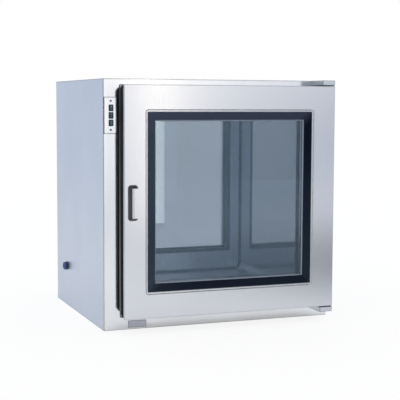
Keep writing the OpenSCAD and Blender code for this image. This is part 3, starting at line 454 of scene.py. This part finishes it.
def steel(name, color, roughness, grain=UPRIGHT_GRAIN, uneven=0.03, bump=GRAIN_AMOUNT, wave=0.0,
          wave_scale=WAVE_SCALE, fold=1.0, haze=0.0, shaded_hems=False):
    """Metal whose roughness and tone follow grain and clouds, with a painted dark line along its folds.

    Uneven is how far clouds change the tone, and bump and wave how far grain and waves change the
    height. Fold is the strength of the painted line, and haze the share of a second, dull reflection.
    The last switch paints shade on the hems of the doors, for the shade in the gap beside each door.
    """
    material, tree = new_material(name)
    surface = add(tree, "ShaderNodeGroup", node_tree=SHEET)
    surface.inputs["Grain Scale"].default_value = grain
    surface.inputs["Grain Amount"].default_value = bump
    surface.inputs["Wave Amount"].default_value = wave
    surface.inputs["Wave Scale"].default_value = wave_scale
    shader = add(tree, "ShaderNodeBsdfPrincipled", {"Metallic": 1.0})
    tone = clouded(tree, (surface, "Clouds"), color, uneven)
    gloss = spread(tree, (surface, "Grain"), roughness * (1 - GRAIN_SPREAD), roughness * (1 + GRAIN_SPREAD))
    join(tree, (gloss, 0), (shader, "Roughness"))
    # painted reflection: a dark line painted into the colour where the bevelled normal leaves the true one
    soft = add(tree, "ShaderNodeBevel", {"Radius": FOLD_REACH}, samples=4)
    true = add(tree, "ShaderNodeNewGeometry")
    turned = maths(tree, "DOT_PRODUCT", (soft, 0), (true, "True Normal"), kind=VECTOR)
    line = add(tree, "ShaderNodeMapRange", {"From Min": 1.0, "From Max": FOLD_TURN, "To Max": fold})
    join(tree, (turned, "Value"), (line, 0))
    surfaced = mixed(tree, (line, 0), (tone, 2), tinted(color, FOLD_SHADE))
    # painted shade on the hems, for the shade in the gap beside the door
    if shaded_hems:
        surfaced = mixed(tree, (on_hems(tree), 0), (surfaced, 2), HEM_PAINTED_SHADE)
    join(tree, (surfaced, 2), (shader, "Base Color"))
    relief = add(tree, "ShaderNodeBump", {"Strength": 1.0, "Distance": SHEET_RELIEF})
    join(tree, (surface, "Height"), (relief, "Height"))
    join(tree, (soft, 0), (relief, "Normal"))
    join(tree, (relief, 0), (shader, "Normal"))
    if haze:
        scratched = add(tree, "ShaderNodeBsdfPrincipled", {"Metallic": 1.0, "Roughness": SCRATCH_ROUGHNESS})
        join(tree, (surfaced, 2), (scratched, "Base Color"))
        both = add(tree, "ShaderNodeMixShader", {"Fac": haze})
        join(tree, (shader, 0), (both, 1))
        join(tree, (scratched, 0), (both, 2))
        shader = both
    finish(tree, shader)
    return material


FINISHES = {
    "case_steel": steel("case_steel", (0.62, 0.675, 0.765), 0.34, grain=LEVEL_GRAIN),
    "frame_steel": steel("frame_steel", (0.95, 0.954, 0.96), 0.16, bump=0.01, wave=0.2),
    "door_steel": steel("door_steel", (0.81, 0.82, 0.845), 0.20, uneven=0.01, bump=0.02, fold=0.45),
    "inner_pan_steel": steel("inner_pan_steel", (0.57, 0.64, 0.73), 0.30, uneven=0.01, bump=0.01,
                             shaded_hems=True),
    "chamber_steel": steel("chamber_steel", (0.69, 0.71, 0.74), 0.06, uneven=0.01, bump=0.0, wave=1.6,
                           wave_scale=5.0, haze=0.35),
    "hidden_steel": steel("hidden_steel", (0.56, 0.57, 0.59), 0.40),
    "hinge_steel": steel("hinge_steel", (0.70, 0.73, 0.78), 0.20, bump=0.02),
    "magnet_steel": steel("magnet_steel", (0.42, 0.44, 0.48), 0.35),
    "screw_steel": steel("screw_steel", (0.30, 0.31, 0.33), 0.35),
    "spacer_aluminium": steel("spacer_aluminium", (0.66, 0.68, 0.72), 0.35),
    "plate_aluminium": steel("plate_aluminium", (0.98, 0.99, 1.0), 0.18, grain=(900, 900, 40), fold=0.1),
    "rail_plate_grey": steel("rail_plate_grey", (0.57, 0.585, 0.65), 0.45),
}

# %% [markdown]
# ## Rubber and plastic
#
# Moulded parts carry the skin of their mould: a fine, even pebble that breaks up the gloss, under a
# slow unevenness from handling. One function makes them all, from a colour, a gloss and a pebble. The
# frame round each window is a mitred ring of rubber lengths. The left and the top length get a paler
# tone painted in, a painted sheen for the brighter room that they face, and a diagonal mask stops it
# by the mitres.

# %% Moulded finishes
PEBBLE_DEPTH = 0.00002
HANDLING_SCALE = 14.0
HANDLING_SPREAD = 0.1                   # the handling's share in the roughness
MOULD_EDGE = 0.0004                     # the round of a moulded edge
COAT_ROUGHNESS = 0.15
LEFT_PAINTED_SHEEN = (0.025, 0.040, 0.058, 1)   # painted sheen along the ring's left side, for the brighter room that it faces
TOP_PAINTED_SHEEN = (0.040, 0.046, 0.078, 1)    # and along its top
TOP_STARTS = (0.19, 0.26)               # how far over the middle the top's painted sheen comes in
MITRE_BLUR = 0.02


def painted_sheen_on(tree, place, tone):
    """The tone, with the left painted sheen where z - x is over its value at the door's middle.

    Towards the top the left sheen gives way to the top's own.
    """
    parts = add(tree, "ShaderNodeSeparateXYZ")
    join(tree, (place, "Object"), (parts, 0))
    lean = maths(tree, "SUBTRACT", (parts, "Z"), (parts, "X"))
    mitre = DOOR_MIDDLE[1] - DOOR_MIDDLE[0]
    upper_left = add(tree, "ShaderNodeMapRange",
                     {"From Min": mitre - MITRE_BLUR, "From Max": mitre + MITRE_BLUR})
    join(tree, (lean, 0), (upper_left, 0))
    top = add(tree, "ShaderNodeMapRange",
              {"From Min": DOOR_MIDDLE[1] + TOP_STARTS[0], "From Max": DOOR_MIDDLE[1] + TOP_STARTS[1]})
    join(tree, (parts, "Z"), (top, 0))
    pale = mixed(tree, (top, 0), LEFT_PAINTED_SHEEN, TOP_PAINTED_SHEEN)
    return mixed(tree, (upper_left, 0), (tone, 2), (pale, 2))


def moulded(name, color, roughness, pebble=1400.0, uneven=0.12, coat=0.0, sheen=0.5,
            tint=(1.0, 1.0, 1.0), ring=False):
    """Plastic or rubber: a fine noise for the mould's skin and a slow one for the handling.

    Uneven is how far handling changes the tone, sheen and tint set the mirror image at its strength
    and colour, and ring is set for the mitred frames, which get a painted sheen on the left and top.
    """
    material, tree = new_material(name)
    place = add(tree, "ShaderNodeTexCoord")
    skin = add(tree, "ShaderNodeTexNoise", {"Scale": pebble, "Detail": 1.0})
    handling = add(tree, "ShaderNodeTexNoise", {"Scale": HANDLING_SCALE, "Detail": 3.0})
    for texture in (skin, handling):
        join(tree, (place, "Object"), (texture, "Vector"))
    shader = add(tree, "ShaderNodeBsdfPrincipled",
                 {"Coat Weight": coat, "Coat Roughness": COAT_ROUGHNESS, "Specular IOR Level": sheen,
                  "Specular Tint": tint + (1.0,)})
    tone = clouded(tree, (handling, "Fac"), color, uneven)
    # painted sheen: a paler tone on the ring's left and top, for the brighter room that they face
    if ring:
        tone = painted_sheen_on(tree, place, tone)
    join(tree, (tone, 2), (shader, "Base Color"))
    gloss = spread(tree, (handling, "Fac"),
                   roughness * (1 - HANDLING_SPREAD), roughness * (1 + HANDLING_SPREAD))
    join(tree, (gloss, 0), (shader, "Roughness"))
    relief = add(tree, "ShaderNodeBump", {"Strength": 1.0, "Distance": PEBBLE_DEPTH})
    join(tree, (skin, "Fac"), (relief, "Height"))
    soft = add(tree, "ShaderNodeBevel", {"Radius": MOULD_EDGE}, samples=4)
    join(tree, (soft, 0), (relief, "Normal"))
    join(tree, (relief, 0), (shader, "Normal"))
    finish(tree, shader)
    return material


FINISHES.update({
    "edge_rubber": moulded("edge_rubber", (0.002, 0.002, 0.0025), 0.7, sheen=0.12),
    "glazing_rubber": moulded("glazing_rubber", (0.002, 0.005, 0.014), 0.18, sheen=0.38,
                              tint=(0.62, 0.78, 1.0), ring=True),
    "seal_rubber": moulded("seal_rubber", (0.022, 0.036, 0.052), 0.5, sheen=0.3),
    "pull_plastic": moulded("pull_plastic", (0.16, 0.163, 0.17), 0.5),
    "black_plastic": moulded("black_plastic", (0.012, 0.013, 0.016), 0.4),
    "gland_plastic": moulded("gland_plastic", (0.034, 0.064, 0.20), 0.28, sheen=0.8,
                             tint=(0.8, 0.9, 1.0)),
    "rocker_plastic": moulded("rocker_plastic", (0.045, 0.085, 0.105), 0.18, coat=0.3),
    "bearing_plastic": moulded("bearing_plastic", (0.80, 0.77, 0.68), 0.45),
    "white_plastic": moulded("white_plastic", (0.80, 0.80, 0.79), 0.3),
    "diffuser": moulded("diffuser", (0.86, 0.87, 0.88), 0.25),
    "circuit_board": moulded("circuit_board", (0.02, 0.10, 0.055), 0.35, uneven=0.3),
})

# %% [markdown]
# ## Glass
#
# Clear glass is plain transmission with a cool tint. Light crosses four panes on its way through the
# box, so a tint that is slight in one pane turns the far window cool grey. The mirror image is set
# stronger and bluer than that of bare glass, for the cool glaze of a double pane.

# %% Glass
GLASS_IOR = 1.6
GLAZE_TINT = (0.58, 0.80, 1.0, 1.0)
FLOAT_SCALE = 2.5
FLOAT_RELIEF = 0.00004


def glass(name, color):
    """Clear glass with a slight tint; a very slow bump gives float glass its gentle unevenness."""
    material, tree = new_material(name)
    place = add(tree, "ShaderNodeTexCoord")
    slow = add(tree, "ShaderNodeTexNoise", {"Scale": FLOAT_SCALE, "Detail": 0.0})
    join(tree, (place, "Object"), (slow, "Vector"))
    relief = add(tree, "ShaderNodeBump", {"Strength": 1.0, "Distance": FLOAT_RELIEF})
    join(tree, (slow, "Fac"), (relief, "Height"))
    shader = add(tree, "ShaderNodeBsdfPrincipled",
                 {"Base Color": color + (1.0,), "Roughness": 0.0, "IOR": GLASS_IOR,
                  "Transmission Weight": 1.0, "Specular IOR Level": 1.0, "Specular Tint": GLAZE_TINT})
    join(tree, (relief, 0), (shader, "Normal"))
    finish(tree, shader)
    return material


FINISHES["window_glass"] = glass("window_glass", (0.705, 0.742, 0.785))
FINISHES["lamp_glass"] = glass("lamp_glass", (0.92, 0.95, 0.97))

# %% [markdown]
# ## Dressing the solids
#
# Each solid already says what it is made of, in its material slot, and the finishes bear the names of
# those slots, so one loop dresses them all. Only the seals round the inner panes get a rubber of their
# own, greyer than that of the gaskets that shut the doors.

# %% Give each solid its finish
for part in frame["record"]["subparts"]:
    mesh = nodes[part["node"]].data
    mesh.materials.clear()
    mesh.materials.append(FINISHES[part["material_slot"]])
for name in ("front_inner_seal", "rear_inner_seal"):
    nodes[name].data.materials[0] = FINISHES["seal_rubber"]
print("finishes:", len(FINISHES))

# %% [markdown]
# ## The seal round each pane
#
# A thin line of pale sealant runs round each pane, where the glass meets the lip of its frame. Its
# pale tone is partly its own and partly a painted highlight, for the lit edge of the glass. It is
# laid wet and smoothed with a finger, so its section is hollow: a quarter of a ring between the glass
# and the lip. That section is carried round the pane's four corners as one closed grid.

# %% Sealant
CLEARANCE = 0.00002      # keeps two faces from lying in one plane
SEAL_WIDTH = 0.0032
SEAL_HEIGHT = 0.0036
SEAL_STEPS = 9
SEAL_LIFT = 0.00003      # its clearance off the glass
FRAME_WIDTH = 0.0235
PANE_FACE = 0.361        # how far each pane's outer face is from the middle of the box


def closed_grid(name, points, slot):
    """A mesh piece from rows x columns x 3 points that close on themselves both ways, facing outwards."""
    rows, columns = points.shape[:2]
    index = np.arange(rows * columns).reshape(rows, columns)
    ahead = np.roll(index, -1, axis=0)
    faces = np.stack([index, np.roll(index, -1, axis=1), np.roll(ahead, -1, axis=1), ahead], axis=-1)
    corner = points.reshape(-1, 3)[faces.reshape(-1, 4)]
    across = np.cross(corner[:, 2] - corner[:, 0], corner[:, 3] - corner[:, 1])
    if np.sum(corner.mean(axis=1) * across) < 0:     # the volume has the sign of the faces' turning
        faces = faces[..., ::-1]
    mesh = bpy.data.meshes.new(name)
    mesh.from_pydata(points.reshape(-1, 3).tolist(), [], faces.reshape(-1, 4).tolist())
    mesh.materials.append(FINISHES[slot])
    piece = bpy.data.objects.new(name, mesh)
    bpy.context.scene.collection.objects.link(piece)
    bpy.context.view_layer.update()
    return piece


def sealant(name, frame_node, outward):
    """The section (u across the pane, v outwards) is u = width (1 - sin a), v = height (1 - cos a).

    The angle a runs from 0 on the glass to a quarter turn on the lip, and the section closes in the
    corner between them. Each corner of the pane carries the section along its own diagonal.
    """
    low, high = (np.array(corner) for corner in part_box(frame_node))
    middle, half = (low + high) / 2, (high - low) / 2 - FRAME_WIDTH
    angle = np.linspace(0, math.pi / 2, SEAL_STEPS)
    across = np.append(SEAL_WIDTH * (1 - np.sin(angle)), 0.0) + CLEARANCE
    above = np.append(SEAL_HEIGHT * (1 - np.cos(angle)), 0.0) + SEAL_LIFT
    corners = np.array([(1, 1), (-1, 1), (-1, -1), (1, -1)]) * outward
    corners[:, 1] *= outward
    x = middle[0] + corners[:, :1] * (half[0] - across)
    z = middle[2] + corners[:, 1:] * (half[2] - across)
    y = np.broadcast_to(outward * (PANE_FACE + above), x.shape)
    return closed_grid(name, np.stack([x, y, z], axis=-1), "sealant")


# its pale tone is partly the sealant's own and partly a painted highlight for the lit edge of the glass
FINISHES["sealant"] = moulded("sealant", (0.33, 0.385, 0.45), 0.42, pebble=500.0, uneven=0.06)
for side, outward in (("front", -1), ("rear", 1)):
    line = sealant(side + "_pane_sealant", side + "_glazing_frame", outward)
    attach(line, side + "_door")

# %% [markdown]
# ## The gasket under the control plate
#
# The control plate is screwed down on a thin black gasket. Only its rim shows, as a dark line round
# the plate, which is also a painted shadow line along the plate's edge. It is the simplest ring there
# is: a flat rectangle for its section, and the plate's own box for its path.

# %% Plate gasket
GASKET_RIM = 0.0011      # how far it looks out from under the plate
GASKET_TUCK = 0.0005     # how far it reaches under the plate
GASKET_HEIGHT = 0.0008
CASE_FACE = 0.295        # how far the case's face is from the middle of the box


# a real gasket, whose dark rim is also a painted shadow line along the plate's edge
def gasket_and_shadow_line():
    """The section's corners go out by the rim and up by the height, round the plate's four corners."""
    low, high = (np.array(corner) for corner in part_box("control_plate"))
    middle, half = (low + high) / 2, (high - low) / 2
    out = np.array([-GASKET_TUCK, GASKET_RIM, GASKET_RIM, -GASKET_TUCK])
    up = np.array([CLEARANCE, CLEARANCE, GASKET_HEIGHT, GASKET_HEIGHT])
    corners = np.array([(1, 1), (-1, 1), (-1, -1), (1, -1)])
    x = middle[0] + corners[:, :1] * (half[0] + out)
    z = middle[2] + corners[:, 1:] * (half[2] + out)
    y = np.broadcast_to(-CASE_FACE - up, x.shape)
    return closed_grid("control_plate_gasket_and_shadow", np.stack([x, y, z], axis=-1), "edge_rubber")


rim_and_shadow = gasket_and_shadow_line()
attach(rim_and_shadow, "cabinet")

# %% [markdown]
# ## The pads of the hinge blocks
#
# A door turns a hair away from its hinge blocks. A thin black pad on each block fills that gap with
# a dark line: a painted shadow, for the shade in the gap. Its outline is the block's, its hole is round
# and off the middle, and both are read at the same angle, so the pad is again one closed grid.

# %% Hinge pads
PAD_HALF = (0.0205, 0.0370)      # half its size in x and in y
PAD_MIDDLE = (0.3305, 0.3340)
PAD_THICKNESS = 0.0019
PAD_SQUARENESS = 0.12            # 1 is an ellipse, 0 a rectangle
PAD_STEPS = 96
PAD_HOLE = 0.0104
PIN_PLACE = (0.340, 0.345)
BLOCK_FACES = (("top", 0.7350, -1), ("bottom", 0.0425, 1))   # the height of each, and the way to the door


def hinge_shadow_pad(name, face_z, towards_door, side):
    """At angle s the outline is middle + half (cos s, sin s) and the hole is pin + radius (cos s, sin s).

    The outline's cos and sin are raised to a small power, which squares it. The section goes round
    hole, outline, outline, hole, on the block's face and then off it.
    """
    s = np.linspace(0, 2 * math.pi, PAD_STEPS, endpoint=False)[:, None]
    turned = [np.cos(s), np.sin(s)]
    squared = [np.sign(t) * np.abs(t) ** PAD_SQUARENESS for t in turned]
    rim = [m + h * t for m, h, t in zip(PAD_MIDDLE, PAD_HALF, squared)]
    hole = [m + PAD_HOLE * t for m, t in zip(PIN_PLACE, turned)]
    on_face, off_face = (face_z + towards_door * away for away in (CLEARANCE, PAD_THICKNESS))
    x = np.hstack([hole[0], rim[0], rim[0], hole[0]])
    y = np.hstack([hole[1], rim[1], rim[1], hole[1]]) * side
    z = np.broadcast_to([on_face, on_face, off_face, off_face], x.shape)
    return closed_grid(name, np.stack([x, y, z], axis=-1), "edge_rubber")


# painted shadow: a black pad between each door and its hinge blocks stands in for the shade in that gap
for place, face_z, towards_door in BLOCK_FACES:
    for side_name, side in (("front", -1), ("rear", 1)):
        shadow_pad = hinge_shadow_pad(side_name + "_" + place + "_hinge_shadow_pad", face_z, towards_door, side)
        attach(shadow_pad, "cabinet")
print("hinge pads: 4, each", PAD_THICKNESS * 1000, "mm thick")

# %% [markdown]
# ## The marks on the rockers
#
# Each rocker carries the two marks that any such switch has: a bar for on and a ring for off, moulded
# in white and a hair proud of the black. Both are the same kind of solid, a rounded outline swept
# round its own middle with a small section, so one function makes them, and only the outline's
# squareness and the width of its stroke tell a bar from a ring. A rocker is two shallow faces that
# meet over its pivot, so the marks are laid on those faces and then tipped with them.

# %% Rocker marks
ROCKERS = (("light", 0.664), ("uv", 0.642), ("power", 0.620))   # the height of each one's pins
ROCKER_PIVOT = (-0.3465, -0.2981)       # x and y of the pins
ROCKER_TILT = math.radians(7)
ROCKER_MIDDLE = 0.001316                # height of the fold between the two faces, over the pins
MARK_PLACE = 0.0036                     # how far a mark's middle is from the fold
MARK_PROUD = 0.00012                    # how far it stands out of the face
MARK_SUNK = 0.0003                      # and how far it reaches into it
MARK_STEPS = 40
BAR_SHAPE = ((0.00050, 0.0019), 0.25, 0.01)   # half size, squareness, inner edge as a share of the outline
RING_SHAPE = ((0.0017, 0.0017), 1.0, 0.62)


def rocker_mark(name, pivot_z, along, half, power, inner):
    """The outline at angle s is half (cos s, sin s), each raised to a power that squares it.

    The section runs from inner (a share of the outline) to 1, and from over the face to under it. A
    point at l along the rocker is |l| tan(tilt) above its fold, and the whole is turned by the tilt.
    """
    s = np.linspace(0, 2 * math.pi, MARK_STEPS, endpoint=False)[:, None]
    share = np.array([inner, 1.0, 1.0, inner])
    lift = np.array([MARK_PROUD, MARK_PROUD, -MARK_SUNK, -MARK_SUNK])
    squared = [np.sign(f(s)) * np.abs(f(s)) ** power for f in (np.cos, np.sin)]
    x = half[0] * squared[0] * share
    length = along + half[1] * squared[1] * share
    height = ROCKER_MIDDLE + np.abs(length) * math.tan(ROCKER_TILT) + lift
    z = length * math.cos(ROCKER_TILT) + height * math.sin(ROCKER_TILT)
    out = -length * math.sin(ROCKER_TILT) + height * math.cos(ROCKER_TILT)
    points = np.stack([ROCKER_PIVOT[0] + x, ROCKER_PIVOT[1] - out, pivot_z + z], axis=-1)
    return closed_grid(name, points, "mark_white")


FINISHES["mark_white"] = moulded("mark_white", (0.62, 0.68, 0.70), 0.35, uneven=0.05)
for switch, pivot_z in ROCKERS:
    bar = rocker_mark(switch + "_rocker_bar", pivot_z, MARK_PLACE, *BAR_SHAPE)
    ring = rocker_mark(switch + "_rocker_ring", pivot_z, -MARK_PLACE, *RING_SHAPE)
    for mark in (bar, ring):
        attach(mark, switch + "_switch")
print("marks: a bar and a ring on each of 3 rockers")

# %% [markdown]
# ## What the case face mirrors
#
# Beside the front door the polished case face mirrors the gasket that lies on it, which widens the
# dark line in the gap. The parts of the door further out would darken the face well beside that line.
# A photographer sets up a white card to light such a spot. Here those parts are left out of mirror
# images instead, so that the room's light reaches the face past them.

# %% Left out of mirror images
UNMIRRORED = ("front_door_core", "front_outer_pan", "front_pull_cup", "front_inner_pan",
              "front_armature", "front_sensor_magnet")
for name in UNMIRRORED:
    nodes[name].visible_glossy = False
print("left out of mirror images:", len(UNMIRRORED))
